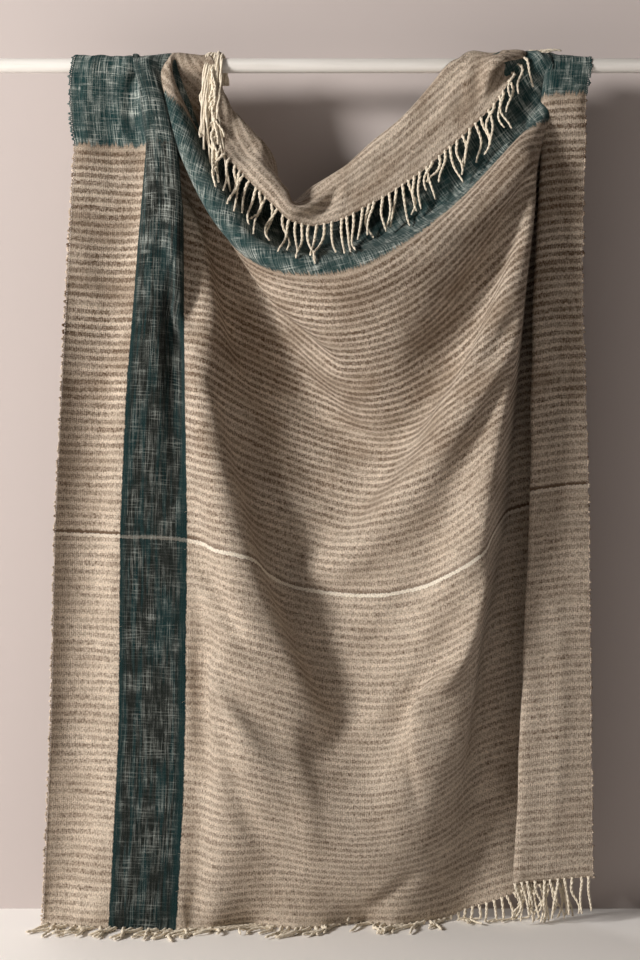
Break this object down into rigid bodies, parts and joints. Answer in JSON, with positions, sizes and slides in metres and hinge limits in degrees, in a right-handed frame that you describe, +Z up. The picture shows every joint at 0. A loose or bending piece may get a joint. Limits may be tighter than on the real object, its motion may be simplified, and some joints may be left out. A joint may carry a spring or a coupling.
{
  "type": "striped wool blanket on a hanging rod",
  "caption": "Striped wool blanket with dark woven bands and a fringe along both hems, laid over a round horizontal rod, folded forward at the middle and hanging in deep soft folds.",
  "frame": {"origin": "on the rod's axis, at the middle of its length", "axes": "+X along the rod to the viewer's right, +Y away from the viewer, +Z up"},
  "size_m": [1.1, 0.196, 1.4791],
  "materials": {
    "blanket_wool": "matte woven wool, cream and grey-brown stripes with dark blue-green bands",
    "fringe_yarn": "matte twisted cream yarn",
    "rod_white": "satin off-white paint"
  },
  "bodies": {
    "root": {"blanket": "blanket_wool", "fringe_top": "fringe_yarn", "fringe_back": "fringe_yarn", "fringe_bottom": "fringe_yarn", "rod": "rod_white"}
  },
  "joints": []
}
